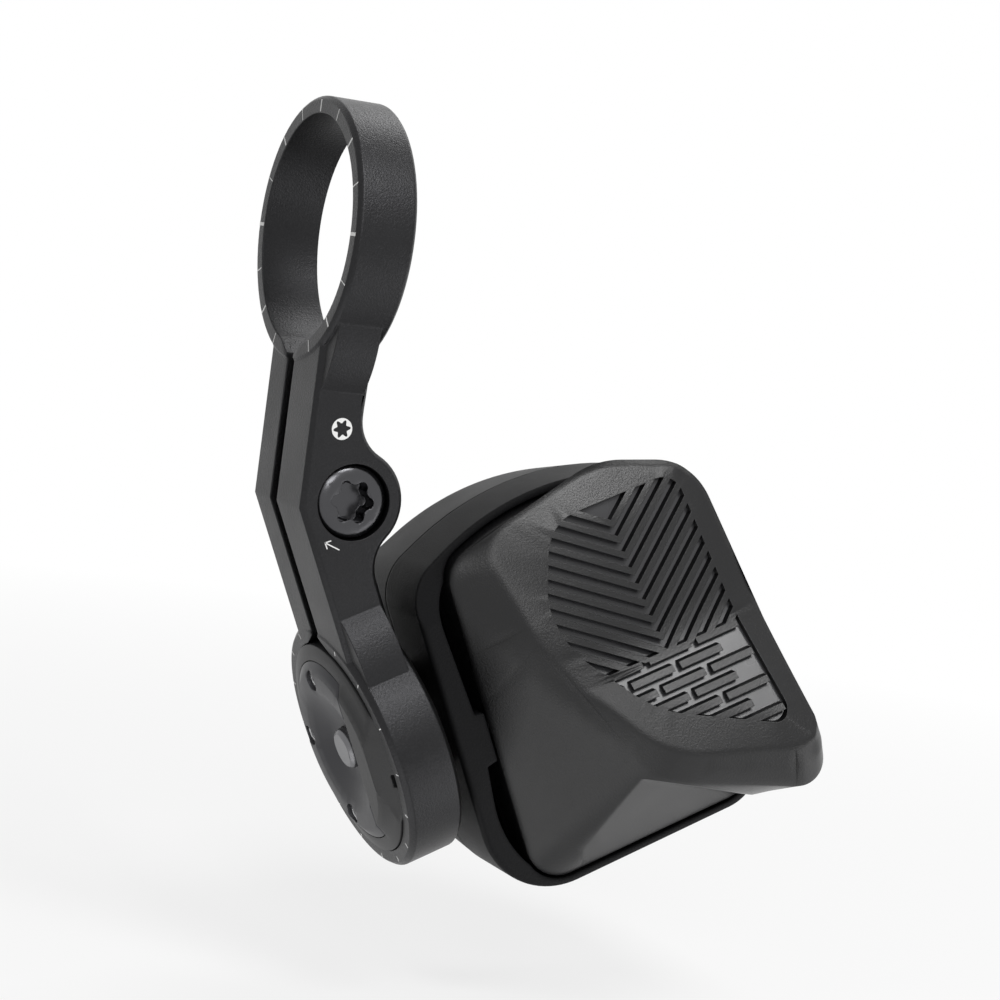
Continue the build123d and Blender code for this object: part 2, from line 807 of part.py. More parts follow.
# Coin cell in a cup that carries the circuit board
cell_back = -housing_back + back_wall
cell_front = cell_back + cell_thickness
board_back = board_front - board_thickness
floor_back = board_back - cup_floor
cup_radius = cell_radius + cell_clearance
with BuildPart() as coin_cell:
    with BuildSketch(pod_front.offset(cell_back)):
        with Locations((cell_centre, cell_up)):
            Circle(cell_radius)
    extrude(amount=cell_thickness)
    chamfer(coin_cell.edges(), 0.2)
coin_cell.part.label = "coin_cell"
export_step(coin_cell.part, "parts/coin_cell.step")

with BuildPart() as cell_cup:
    with BuildSketch(pod_front.offset(cell_back)):
        with Locations((cell_centre, cell_up)):
            Circle(cup_radius + cup_wall)
    extrude(amount=board_back - cell_back)
    with BuildSketch(pod_front.offset(cell_back)):
        with Locations((cell_centre, cell_up)):
            Circle(cup_radius)
    extrude(amount=floor_back - cell_back, mode=Mode.SUBTRACT)
cell_cup.part.label = "cell_cup"
export_step(cell_cup.part, "parts/cell_cup.step")

with BuildPart() as cell_contact_base:
    with BuildSketch(pod_front.offset(floor_back)):
        with Locations((cell_centre, cell_up)):
            Circle(contact_radius)
    extrude(amount=-contact_thickness)
    with BuildSketch(pod_front.offset(floor_back - contact_thickness)):
        with Locations((cell_centre, cell_up)):
            with PolarLocations(contact_radius * 0.7, 3):
                Circle(contact_radius * 0.15)
    extrude(amount=cell_front - floor_back + contact_thickness)
cell_contact_base.part.label = "cell_contact_base"
export_step(cell_contact_base.part, "parts/cell_contact_base.step")

with BuildPart() as cell_contact_side:
    with BuildSketch(pod_front.offset(floor_back)):
        with Locations((cell_centre, cell_up)):
            Circle(cup_radius)
            Circle(cell_radius + 0.05, mode=Mode.SUBTRACT)
        with Locations((cell_centre - cell_radius, cell_up)):
            Rectangle(cell_radius, cell_radius, mode=Mode.INTERSECT)
    extrude(amount=-cell_thickness)
cell_contact_side.part.label = "cell_contact_side"
export_step(cell_contact_side.part, "parts/cell_contact_side.step")

# Circuit board with its radio shield and two switches
with BuildPart() as circuit_board:
    with BuildSketch(pod_front.offset(board_back)):
        add(cavity_outline(back_taper + board_gap))
        with Locations(*shell_screw_spots):
            Circle(board_notch_radius, mode=Mode.SUBTRACT)
    extrude(amount=board_thickness)
circuit_board.part.label = "circuit_board"
export_step(circuit_board.part, "parts/circuit_board.step")

with BuildPart() as radio_shield:
    with BuildSketch(pod_front.offset(board_front)):
        with Locations((shield_across, shield_up)):
            RectangleRounded(shield_width, shield_height, 0.5)
    extrude(amount=shield_thickness)
radio_shield.part.label = "radio_shield"
export_step(radio_shield.part, "parts/radio_shield.step")

plunger_bottom = board_front + switch_height + switch_stem_height + plunger_rest_gap
for name, spot in zip(("upper", "lower"), plunger_spots):
    with BuildPart() as switch:
        with BuildSketch(pod_front.offset(board_front)):
            with Locations(spot):
                RectangleRounded(switch_size, switch_size, 0.4)
        extrude(amount=switch_height)
        with BuildSketch(pod_front.offset(board_front + switch_height)):
            with Locations(spot):
                Circle(switch_stem_radius)
        extrude(amount=switch_stem_height)
    switch.part.label = name + "_switch"
    export_step(switch.part, "parts/" + name + "_switch.step")

    with BuildPart() as plunger:
        with BuildSketch(pod_front.offset(plunger_bottom)):
            with Locations(spot):
                Circle(plunger_radius)
        extrude(amount=carrier_bottom - plunger_top_gap - plunger_bottom)
        fillet(plunger.faces().sort_by(Axis.Y)[0].edges(), 0.5)
    plunger.part.label = name + "_plunger"
    export_step(plunger.part, "parts/" + name + "_plunger.step")

    with BuildPart() as seal:
        with BuildSketch(pod_front.offset(deck_top)):
            with Locations(spot):
                Circle(plunger_radius + 2 * plunger_clearance + seal_wall)
                Circle(plunger_radius + 2 * plunger_clearance, mode=Mode.SUBTRACT)
        extrude(amount=seal_height)
        fillet(seal.faces().sort_by(Axis.Y)[0].edges(), 0.25)
    seal.part.label = name + "_plunger_seal"
    export_step(seal.part, "parts/" + name + "_plunger_seal.step")

# Boss plate: domed rim, dished middle and three counterbored screw holes
plate_screw_spots = []
for turn in (-plate_screw_side_angle, 0, plate_screw_side_angle):
    plate_screw_spots.append((plate_screw_ring * sin(radians(turn)), -plate_screw_ring * cos(radians(turn))))
dish_floor = boss_top - dish_depth
button_hole_radius = button_radius + button_clearance
with BuildPart() as boss_plate:
    with BuildSketch(pod_top):
        with BuildLine():
            Polyline(
                (-plate_seat, button_hole_radius),
                (-dish_floor, button_hole_radius),
                (-dish_floor, button_hole_radius + 0.6),
                (-boss_top, dish_radius),
                (-boss_top, dome_flat_radius),
                (-boss_face - plate_seam_rise, plate_inner_radius),
                (-plate_seat, plate_inner_radius),
                close=True,
            )
        make_face()
    revolve(axis=swivel_axis)
    with BuildSketch(pod_side.offset(-boss_top)):
        with Locations((0, plate_chord - plate_gap + plate_radius)):
            Rectangle(3 * plate_radius, 2 * plate_radius)
    extrude(amount=boss_top, mode=Mode.SUBTRACT)
    with BuildSketch(pod_side.offset(-boss_top)):
        with Locations(*plate_screw_spots):
            Circle(plate_screw_shank_radius + 0.1)
    extrude(amount=boss_top, mode=Mode.SUBTRACT)
    with BuildSketch(pod_side.offset(-boss_top)):
        with Locations(*plate_screw_spots):
            Circle(plate_screw_head_radius + 0.12)
    extrude(amount=plate_screw_sink + plate_screw_head_height, mode=Mode.SUBTRACT)
    with BuildSketch(pod_side.offset(-plate_seat)):
        Circle(button_flange_radius + 0.1)
    extrude(amount=-(button_flange_height - 0.1), mode=Mode.SUBTRACT)
boss_plate.part.label = "boss_plate"
export_step(boss_plate.part, "parts/boss_plate.step")

with BuildPart() as boss_screws:
    with BuildSketch(pod_side.offset(-boss_top + plate_screw_sink)):
        with Locations(*plate_screw_spots):
            Circle(plate_screw_head_radius)
    extrude(amount=plate_screw_head_height)
    with BuildSketch(pod_side.offset(-boss_top + plate_screw_sink)):
        with Locations(*plate_screw_spots):
            Circle(plate_screw_shank_radius)
    extrude(amount=plate_screw_length)
    with BuildSketch(pod_side.offset(-boss_top + plate_screw_sink)):
        with Locations(*plate_screw_spots):
            RegularPolygon(plate_screw_head_radius * 0.5, 6)
    extrude(amount=plate_screw_head_height * 0.7, mode=Mode.SUBTRACT)
boss_screws.part.label = "boss_screws"
export_step(boss_screws.part, "parts/boss_screws.step")

# Function button, its seal, switch and board in the boss
flange_top = plate_seat + button_flange_height - 0.15
switch_face = button_pocket_floor - button_board_height - button_switch_height
with BuildPart() as function_button:
    with BuildSketch(pod_side.offset(-dish_floor - button_proud)):
        Circle(button_radius)
    extrude(amount=dish_floor + button_proud - flange_top)
    chamfer(function_button.faces().sort_by(swivel_axis)[0].edges(), button_chamfer)
    with BuildSketch(pod_side.offset(-flange_top)):
        Circle(button_flange_radius)
    extrude(amount=button_flange_height)
    with BuildSketch(pod_side.offset(-flange_top + button_flange_height)):
        Circle(button_stem_radius)
    extrude(amount=flange_top - button_flange_height + switch_face - button_travel - 0.1)
function_button.part.label = "function_button"
export_step(function_button.part, "parts/function_button.step")

with BuildPart() as button_seal:
    with BuildSketch(pod_side.offset(-plate_seat)):
        Circle(button_seal_outer)
        Circle(button_flange_radius + 0.2, mode=Mode.SUBTRACT)
    extrude(amount=plate_seat + switch_face)
button_seal.part.label = "button_seal"
export_step(button_seal.part, "parts/button_seal.step")

with BuildPart() as button_switch:
    with BuildSketch(pod_side.offset(switch_face)):
        RectangleRounded(button_switch_size, button_switch_size, 0.4)
    extrude(amount=button_switch_height)
button_switch.part.label = "button_switch"
export_step(button_switch.part, "parts/button_switch.step")

with BuildPart() as button_board:
    with BuildSketch(pod_side.offset(switch_face + button_switch_height)):
        Circle(button_pocket_radius - 0.1)
    extrude(amount=button_board_height)
button_board.part.label = "button_board"
export_step(button_board.part, "parts/button_board.step")

# Pivot pin of the rocker
with BuildPart() as pivot_pin:
    with BuildSketch(pod_side.offset(pin_left)):
        with Locations((pivot_up, pivot_out)):
            Circle(pivot_radius)
    extrude(amount=pin_right - pin_left)
    chamfer(pivot_pin.edges(), 0.2)
pivot_pin.part.label = "pivot_pin"
export_step(pivot_pin.part, "parts/pivot_pin.step")


def sloping_plane(slope, out):
    """Plane that rises towards the nose and lies at the given height over the face's top edge."""
    angle = atan(slope)
    origin = pod_centre + up * face_top_up + Vector(0, -out, 0)
    return Plane(origin=origin, x_dir=across, z_dir=Vector(0, -cos(angle), 0) + up * sin(angle))


def sloping_points(corners, slope, inset):
    """Corners of an outline on a sloping plane, moved inwards from the outer wall."""
    stretch = hypot(1, slope)
    points = []
    for (a, c), (turn_a, turn_c) in zip(corners, corner_insets):
        points.append((a + turn_a * inset, (c + turn_c * inset - face_top_up) * stretch))
    return points


crown_plane = sloping_plane(crown_slope, face_top_height + crown_lift)
lip_plane = sloping_plane(lip_slope, face_top_height - lip_drop)
scoop_slope = radians(scoop_angle)
scoop_origin = pod_centre - up * scoop_low + Vector(0, -housing_rim - scoop_lift, 0)
scoop_way = Vector(0, -1, 0) + up * scoop_lean
scoop_normal = Vector(0, -cos(scoop_slope), 0) - up * sin(scoop_slope)
scoop_plane = Plane(origin=scoop_origin, x_dir=across, z_dir=scoop_normal)

inner_left = rocker_left + skirt_wall
inner_right = rocker_right - skirt_wall

# Rocker carrier: plate inside the paddle's skirt, with the barrel of the pivot
with BuildPart() as rocker_carrier:
    with BuildSketch(pod_front.offset(carrier_bottom)):
        add(rocker_outline(skirt_wall + carrier_gap))
    extrude(amount=carrier_thickness)
    with BuildSketch(pod_side.offset(inner_left + carrier_gap)):
        with Locations((pivot_up, pivot_out)):
            Circle(pivot_barrel_radius)
    extrude(amount=inner_right - inner_left - 2 * carrier_gap)
    with BuildSketch(pod_side.offset(inner_left)):
        with Locations((pivot_up, pivot_out)):
            Circle(pivot_radius + pivot_clearance)
    extrude(amount=inner_right - inner_left, mode=Mode.SUBTRACT)
    with BuildSketch(pod_front.offset(carrier_bottom)):
        with Locations((paddle_screw_across, paddle_screw_up)):
            Circle(paddle_screw_radius + 0.1)
    extrude(amount=carrier_thickness, mode=Mode.SUBTRACT)
    with BuildSketch(pod_front.offset(carrier_bottom)):
        with Locations((paddle_screw_across, paddle_screw_up)):
            Circle(paddle_screw_head_radius + 0.1)
    extrude(amount=paddle_screw_head_height, mode=Mode.SUBTRACT)
rocker_carrier.part.label = "rocker_carrier"
export_step(rocker_carrier.part, "parts/rocker_carrier.step")

with BuildPart() as paddle_screw:
    with BuildSketch(pod_front.offset(carrier_bottom)):
        with Locations((paddle_screw_across, paddle_screw_up)):
            Circle(paddle_screw_head_radius)
    extrude(amount=paddle_screw_head_height)
    with BuildSketch(pod_front.offset(carrier_bottom)):
        with Locations((paddle_screw_across, paddle_screw_up)):
            Circle(paddle_screw_radius)
    extrude(amount=paddle_screw_length)
    with BuildSketch(pod_front.offset(carrier_bottom)):
        with Locations((paddle_screw_across, paddle_screw_up)):
            RegularPolygon(paddle_screw_head_radius * 0.5, 6)
    extrude(amount=paddle_screw_head_height * 0.6, mode=Mode.SUBTRACT)
paddle_screw.part.label = "paddle_screw"
export_step(paddle_screw.part, "parts/paddle_screw.step")

# Outer shape and hollow of the rocker paddle: a skirt, lofted walls and a face of two facets
paddle_shapes = []
for inset, drop, bottom in ((0, 0, skirt_bottom), (skirt_wall, face_wall, skirt_bottom - 1)):
    left = rocker_left + inset
    right = rocker_right - inset
    arch = rocker_arch - inset
    foot_round = rocker_base_corner - inset
    shoulder = rocker_shoulder - inset
    with BuildPart() as paddle_shape:
        with BuildSketch(pod_front.offset(bottom)):
            add(rocker_outline(inset))
        extrude(amount=housing_rim - bottom)
        with BuildSketch(pod_front.offset(housing_rim)):
            with BuildLine():
                FilletPolyline(
                    *arched_corners(left, right, rocker_low - inset, arch, shoulder),
                    (left - wall_bulge, wall_bulge_up),
                    radius=[foot_round, foot_round, shoulder, arch, shoulder, wall_bulge_round],
                    close=True,
                )
            make_face()
        for plane, slope, corners, rounds in (
            (lip_plane, lip_slope, lip_corners, lip_rounds),
            (crown_plane, crown_slope, crown_corners, crown_rounds),
        ):
            with BuildSketch(plane):
                with BuildLine():
                    FilletPolyline(
                        *sloping_points(corners, slope, inset * 1.4),
                        radius=[radius - inset * 0.6 for radius in rounds],
                        close=True,
                    )
                make_face()
        loft(ruled=True)
        with BuildSketch(pod_side):
            with BuildLine():
                FilletPolyline(
                    (30, face_out(30) - drop),
                    (valley_up, valley_out - drop),
                    (-30, face_out(-30) - drop),
                    radius=valley_round,
                )
                Polyline((-30, face_out(-30) - drop), (-30, 60), (30, 60), (30, face_out(30) - drop))
            make_face()
        extrude(amount=2 * housing_right, mode=Mode.SUBTRACT)
        with BuildSketch(scoop_plane.offset(-inset)):
            with BuildLine():
                FilletPolyline(*scoop_outline, radius=scoop_rounds, close=True)
            make_face()
            if inset > 0:
                offset(amount=inset)
        extrude(amount=scoop_height + inset, dir=scoop_way, mode=Mode.SUBTRACT)
    paddle_shapes.append(paddle_shape.part)

# Ribs of the grip pad: nested chevrons above the split and staggered bars below it
with BuildSketch() as pad_ribs:
    arm_rise = rib_reach * tan(radians(chevron_angle))
    for row in range(chevron_rows):
        tip = rib_split + (row - chevron_rows_below) * rib_pitch / cos(radians(chevron_angle))
        with BuildLine():
            arms = Polyline(
                (chevron_middle - rib_reach, tip + arm_rise),
                (chevron_middle, tip),
                (chevron_middle + rib_reach, tip + arm_rise),
            )
        trace(arms, line_width=rib_width)
    with Locations((chevron_middle, rib_split)):
        Rectangle(2 * rib_reach, 2 * rib_reach, align=(Align.CENTER, Align.MAX), mode=Mode.SUBTRACT)
    for row in range(bar_rows):
        start = pad_right - (row % 2 + 1) * bar_length / 2
        for place in range(bar_count):
            with Locations((start - place * bar_length, rib_split - row * rib_pitch)):
                Rectangle(bar_length - bar_gap, rib_width)

# Grooves of the grip pad: the pad's outline less its ribs, above the groove floor
with BuildPart() as pad_grooves:
    with BuildSketch(pod_front):
        with BuildLine():
            FilletPolyline(*pad_outline, radius=pad_rounds, close=True)
        make_face()
        add(pad_ribs.sketch, mode=Mode.SUBTRACT)
    extrude(amount=2 * housing_right)
    with BuildSketch(pod_side):
        with BuildLine():
            FilletPolyline(
                (30, face_out(30) - pad_depth),
                (valley_up, valley_out - pad_depth),
                (-30, face_out(-30) - pad_depth),
                radius=valley_round,
            )
            Polyline((-30, face_out(-30) - pad_depth), (-30, -1), (30, -1), (30, face_out(30) - pad_depth))
        make_face()
    extrude(amount=2 * housing_right, mode=Mode.SUBTRACT)

# Rocker paddle: saddle-shaped thumb piece with a ribbed pad
with BuildPart() as rocker_paddle:
    add(paddle_shapes[0])
    add(paddle_shapes[1], mode=Mode.SUBTRACT)
    with BuildSketch(pod_front.offset(carrier_bottom + carrier_thickness)):
        with Locations((paddle_screw_across, paddle_screw_up)):
            Circle(paddle_post_radius)
    extrude(amount=face_out(paddle_screw_up) - face_wall - carrier_bottom - carrier_thickness + 0.5)
    with BuildSketch(pod_front.offset(carrier_bottom + carrier_thickness)):
        with Locations((paddle_screw_across, paddle_screw_up)):
            Circle(paddle_screw_radius)
    extrude(amount=paddle_screw_length - carrier_thickness + 0.3, mode=Mode.SUBTRACT)
    with BuildSketch(pod_side):
        with Locations((pivot_up, pivot_out)):
            Circle(pivot_hole_radius)
        with Locations((pivot_up, (pivot_out + skirt_bottom) / 2 - 1)):
            Rectangle(2 * pivot_hole_radius, pivot_out - skirt_bottom + 2)
    extrude(amount=housing_right, mode=Mode.SUBTRACT)
    add(pad_grooves.part, mode=Mode.SUBTRACT)
rocker_paddle.part.label = "rocker_paddle"
export_step(rocker_paddle.part, "parts/rocker_paddle.step")
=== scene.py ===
import math

import bpy
from bpy.props import FloatProperty, FloatVectorProperty, PointerProperty
from bpy.types import Operator, Panel, PropertyGroup
from mathutils import Matrix, Vector


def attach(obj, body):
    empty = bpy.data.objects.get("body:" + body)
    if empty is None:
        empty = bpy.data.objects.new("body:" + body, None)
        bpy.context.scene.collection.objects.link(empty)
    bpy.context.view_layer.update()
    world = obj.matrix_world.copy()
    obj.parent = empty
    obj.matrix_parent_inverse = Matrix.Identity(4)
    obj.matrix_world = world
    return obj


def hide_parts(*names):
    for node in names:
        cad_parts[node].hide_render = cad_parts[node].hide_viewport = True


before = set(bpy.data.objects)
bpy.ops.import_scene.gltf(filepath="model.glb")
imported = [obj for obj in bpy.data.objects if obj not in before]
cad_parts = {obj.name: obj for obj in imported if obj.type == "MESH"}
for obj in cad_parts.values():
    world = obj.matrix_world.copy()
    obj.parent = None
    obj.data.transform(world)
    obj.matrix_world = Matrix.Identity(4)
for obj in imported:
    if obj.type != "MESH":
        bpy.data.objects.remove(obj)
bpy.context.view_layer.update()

bl_info = {
    "name": "Shift Controller",
    "version": (1, 1, 0),
    "blender": (4, 5, 0),
    "location": "View3D > Sidebar > Shift Controller",
    "description": "Finishes the electronic shift controller and sets up its studio",
    "category": "Object",
}

MM = 0.001

# The pod's own frame: across runs along the boss axis, up towards the handlebar, out to the rider
pod_tilt = math.radians(25.5)
pod_centre = Vector((11.2, 0, -49.0)) * MM
pod_across = Vector((math.cos(pod_tilt), 0, math.sin(pod_tilt)))
pod_up = Vector((-math.sin(pod_tilt), 0, math.cos(pod_tilt)))
pod_out = Vector((0, -1, 0))

# Faces of the clamp that the marks lie on, in millimetres from the ring's centre or, for the shank, the bar's
bar_radius = 11.1
bar_face_radius = 12.43
bar_face = 3.0
pod_bore = 11.1
pod_face_radius = 12.4
pod_face = 2.925
shank_face = 7.4

# Head of the clamp bolt: its place, and the edge of its flat face as it is in the CAD and as it is drawn
bolt_across = 2.5
bolt_height = -25.1
bolt_face = 7.1
bolt_edge_radius = 2.9
bolt_flat_radius = 2.75

# Laser marks: how proud they stand, in millimetres, and the turn from one index mark to the next, in degrees
mark_height = 0.012
mark_step = 22.5
mark_steps = range(-7, 8)
quarter_mark, even_mark, odd_mark, pod_mark = 0.34, 0.2, 0.11, 0.1
bar_mark_span = (bar_radius + 0.14, bar_face_radius - 0.04)
pod_mark_span = (pod_bore + 0.7, pod_face_radius - 0.05)

# Drive sign, across and up on the shank in millimetres; its six-pointed opening is in shares of its radius
drive_place = (0.3, -18.24)
drive_radius = 1.04
drive_turn = math.radians(12)
drive_rim = 0.3
drive_mean, drive_wave, drive_point = 0.66, 0.17, 0.03

# Arrow by the bolt, in millimetres, with the turn of its barbs in degrees
arrow_tail = (1.57, -29.71)
arrow_tip = (0.07, -29.16)
arrow_width = 0.11
arrow_barb = 0.6
arrow_barb_turn = 42

# Face of the paddle: out from the pod's centre plane at the valley, and how it falls above and below
valley_up = 2.7
valley_out = 14.732
face_top_slope = 0.36
face_low_slope = 0.67

# Grip pad in that face: its outline across and up, and the depth of its grooves, in millimetres
pad_outline = [(34.9, -8.3), (34.9, 16.7), (20.4, 16.7), (16.6, 9.5), (17.2, 5.0), (22.5, -2.6)]
pad_depth = 0.75
pad_slack = 0.05
# Depths and facing of the groove floors that are drawn lighter, as painted highlight
groove_floor = (0.6 * pad_depth, 1.6 * pad_depth)
groove_facing = 0.7
rib_softness = 0.06

# Band round the pad: its fall, where that starts outside the pad, the width over which it grows to the whole,
# and the depth under the face over which it dies out, in millimetres
band_fall = 0.6
band_start = 0.3
band_width = 1.4
band_depth = 2.5
face_slack = 0.3

# Where the lamps aim, the distance at which their power counts as it is given, and the floor, in metres
object_middle = Vector((12, -3, -30)) * MM
lamp_reach = 0.35
floor_height = -0.075
floor_size = 6.0
shadow_reach = (0.08, 0.3)
shadow_white = 0.72
soft_light = 0.3


def pod_place(point):
    """Millimetres across, up and out of a point in the row frame."""
    offset = (point - pod_centre) / MM
    return offset.dot(pod_across), offset.dot(pod_up), offset.dot(pod_out)


def slope_band(vertex):
    """Lowers the paddle's crease, so that the band round the grip pad falls away from the pad."""
    across, up, out = pod_place(vertex.co)
    depth = face_height(up) - out
    if depth > -face_slack:
        grown = min(max((pad_reach(across, up) - band_start) / band_width, 0), 1)
        left = min(max(1 - depth / band_depth, 0), 1)
        vertex.co -= pod_out * band_fall * grown * left * MM


def face_height(up):
    """How far the paddle's two-part face stands out of the pod at a height."""
    return valley_out - (face_top_slope if up > valley_up else face_low_slope) * (up - valley_up)


def pad_reach(across, up):
    """How far a point lies outside the grip pad's outline, less than zero inside it."""
    reach = -math.inf
    for start, end in zip(pad_outline, pad_outline[1:] + pad_outline[:1]):
        run = Vector(end) - Vector(start)
        away = Vector((run.y, -run.x)).normalized()
        reach = max(reach, away.dot(Vector((across, up)) - Vector(start)))
    return reach


def narrow_head(vertex):
    """Widens the chamfer of the bolt's head, by drawing the edge of its flat face inwards."""
    spoke = Vector((vertex.co.x / MM - bolt_across, 0, vertex.co.z / MM - bolt_height))
    if abs(vertex.co.y / MM + bolt_face) < 0.02 and spoke.length > bolt_edge_radius:
        vertex.co -= spoke.normalized() * (spoke.length - bolt_flat_radius) * MM


def pad_drop(point):
    """How far a point on the grip pad lies under the paddle's face, or None away from the pad."""
    across, up, out = pod_place(point)
    return None if pad_reach(across, up) > pad_slack else face_height(up) - out


def linear(hex_colour):
    """Linear RGBA of an sRGB hex colour."""
    values = [int(hex_colour[i:i + 2], 16) / 255 for i in (1, 3, 5)]
    return [v / 12.92 if v <= 0.04045 else ((v + 0.055) / 1.055) ** 2.4 for v in values] + [1.0]


def pattern_scale(size_mm):
    """Scale of a noise pattern on Object coordinates whose grains are this many millimetres wide."""
    return 1 / (size_mm * MM)


def add_node(tree, kind, settings=None, links=None):
    """Adds a shader node, sets its fields and inputs, and links its inputs to other sockets."""
    node = tree.nodes.new(kind)
    for name, value in (settings or {}).items():
        if isinstance(name, int) or name in node.inputs:
            node.inputs[name].default_value = value
        else:
            setattr(node, name, value)
    for name, socket in (links or {}).items():
        tree.links.new(socket, node.inputs[name])
    return node


def grained(name, colour, roughness, metallic=0.0, ior=1.5, specular=0.5, grain_mm=0.2, grain_depth=0.01,
            variation=0.1, soft_mm=0.0, soft_attribute=""):
    """Surface with one fine grain, which mottles the colour and breaks up the highlight.

    The real grains are 0.02 to 0.1 mm wide, at most about a pixel, so they are drawn as coarse as they need to show.
    Corners are drawn rounded by soft_mm, times the mesh attribute soft_attribute where one is named.
    """
    cloud_mm = grain_mm * 40
    spread = 0.03
    material = bpy.data.materials.new(name)
    material.use_nodes = True
    tree = material.node_tree
    tree.nodes.clear()
    place = add_node(tree, "ShaderNodeTexCoord").outputs["Object"]
    grain = add_node(tree, "ShaderNodeTexNoise",
                     {"Scale": pattern_scale(grain_mm), "Detail": 3.0, "Roughness": 0.6}, {"Vector": place})
    cloud = add_node(tree, "ShaderNodeTexNoise",
                     {"Scale": pattern_scale(cloud_mm), "Detail": 2.0}, {"Vector": place})
    tint = add_node(tree, "ShaderNodeMix", {
        "data_type": "RGBA",
        6: [c * (1 - variation) for c in colour[:3]] + [1.0],
        7: [c * (1 + variation) for c in colour[:3]] + [1.0],
    }, {0: grain.outputs["Fac"]})
    rough = add_node(tree, "ShaderNodeMapRange", {
        "From Min": 0.3, "From Max": 0.7, "To Min": roughness - spread, "To Max": roughness + spread,
    }, {"Value": cloud.outputs["Fac"]})
    bump = add_node(tree, "ShaderNodeBump", {"Strength": 1.0, "Distance": grain_depth * MM},
                    {"Height": grain.outputs["Fac"]})
    if soft_mm:
        corner = add_node(tree, "ShaderNodeBevel", {"samples": 6, "Radius": soft_mm * MM})
        tree.links.new(corner.outputs["Normal"], bump.inputs["Normal"])
        if soft_attribute:
            share = add_node(tree, "ShaderNodeAttribute", {"attribute_name": soft_attribute})
            size = add_node(tree, "ShaderNodeMath", {"operation": "MULTIPLY", 1: soft_mm * MM},
                            {0: share.outputs["Fac"]})
            tree.links.new(size.outputs[0], corner.inputs["Radius"])
    shader = add_node(tree, "ShaderNodeBsdfPrincipled",
                      {"Metallic": metallic, "IOR": ior, "Specular IOR Level": specular},
                      {"Base Color": tint.outputs[2], "Roughness": rough.outputs["Result"],
                       "Normal": bump.outputs["Normal"]})
    add_node(tree, "ShaderNodeOutputMaterial", None, {"Surface": shader.outputs["BSDF"]})
    return material


def dress(node, material):
    """Gives a CAD node a finish."""
    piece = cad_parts[node]
    piece.data.materials.clear()
    piece.data.materials.append(material)


def take_over(piece, body, slot, *nodes):
    """Makes a finished piece stand for CAD nodes and ride on a body."""
    if nodes:
        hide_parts(*nodes)
    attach(piece, body)


def rounded_copy(node, body, slot, material, edge_mm=0.0, angle=32, reshape=None):
    """Copy of a CAD node with its sharp edges rounded, which stands for the node.

    reshape, where given, takes each vertex of the merged copy and may move it.
    """
    bpy.ops.object.select_all(action="DESELECT")
    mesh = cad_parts[node].data.copy()
    piece = bpy.data.objects.new(node + "_finished", mesh)
    bpy.context.scene.collection.objects.link(piece)
    bpy.context.view_layer.objects.active = piece
    piece.select_set(True)
    bpy.ops.mesh.customdata_custom_splitnormals_clear()
    bpy.ops.object.mode_set(mode="EDIT")
    bpy.ops.mesh.select_all(action="SELECT")
    bpy.ops.mesh.remove_doubles(threshold=0.000002)
    if edge_mm:
        bpy.ops.mesh.dissolve_limited(angle_limit=math.radians(0.02))
    bpy.ops.object.mode_set(mode="OBJECT")
    if reshape:
        for vertex in mesh.vertices:
            reshape(vertex)
    if edge_mm:
        bevel = piece.modifiers.new("Edge rounding", "BEVEL")
        bevel.width = edge_mm * MM
        bevel.segments = 2
        bevel.limit_method = "ANGLE"
        bevel.angle_limit = math.radians(angle)
        bevel.use_clamp_overlap = False
        bpy.ops.object.modifier_apply(modifier=bevel.name)
    bpy.ops.object.shade_smooth_by_angle(angle=math.radians(angle))
    evened = piece.modifiers.new("Flat faces stay flat", "WEIGHTED_NORMAL")
    evened.keep_sharp = True
    bpy.ops.object.modifier_apply(modifier=evened.name)
    mesh.materials.clear()
    mesh.materials.append(material)
    take_over(piece, body, slot, node)
    return piece


def ring_marks(name, centre, level, radial, inner, outer, spots, body, material):
    """Laser-cut index marks on the end face of a ring, copied from one bar about the ring's axis.

    level is the axis, pointing out of the face, radial the direction of the first mark, and spots
    gives each mark's turn in degrees and width in millimetres.
    """
    bpy.ops.object.select_all(action="DESELECT")
    bpy.ops.mesh.primitive_cube_add(size=1.0)
    bar = bpy.context.object
    bpy.ops.object.mode_set(mode="EDIT")
    bpy.ops.mesh.select_all(action="SELECT")
    bpy.ops.mesh.subdivide(number_cuts=2)
    bpy.ops.object.mode_set(mode="OBJECT")
    side = level.cross(radial)
    marks = []
    for turn, width in spots:
        spin = Matrix.Rotation(math.radians(turn), 3, level)
        out = spin @ radial
        # Columns: along the mark, across it, and out of the face
        stretch = Matrix((out * (outer - inner), (spin @ side) * width, level * mark_height * 2))
        stretch = stretch.transposed() * MM
        place = centre + out * ((inner + outer) / 2 * MM)
        mark = bar.copy()
        mark.data = bar.data.copy()
        mark.data.transform(Matrix.Translation(place) @ stretch.to_4x4())
        bpy.context.scene.collection.objects.link(mark)
        marks.append(mark)
    bpy.data.objects.remove(bar)
    bpy.ops.object.select_all(action="DESELECT")
    for mark in marks:
        mark.select_set(True)
    bpy.context.view_layer.objects.active = marks[0]
    bpy.ops.object.join()
    piece = bpy.context.object
    piece.name = name
    bpy.ops.object.mode_set(mode="EDIT")
    bpy.ops.mesh.select_all(action="SELECT")
    bpy.ops.mesh.normals_make_consistent(inside=False)
    bpy.ops.object.mode_set(mode="OBJECT")
    piece.data.materials.clear()
    piece.data.materials.append(material)
    take_over(piece, body, "clamp_metal")


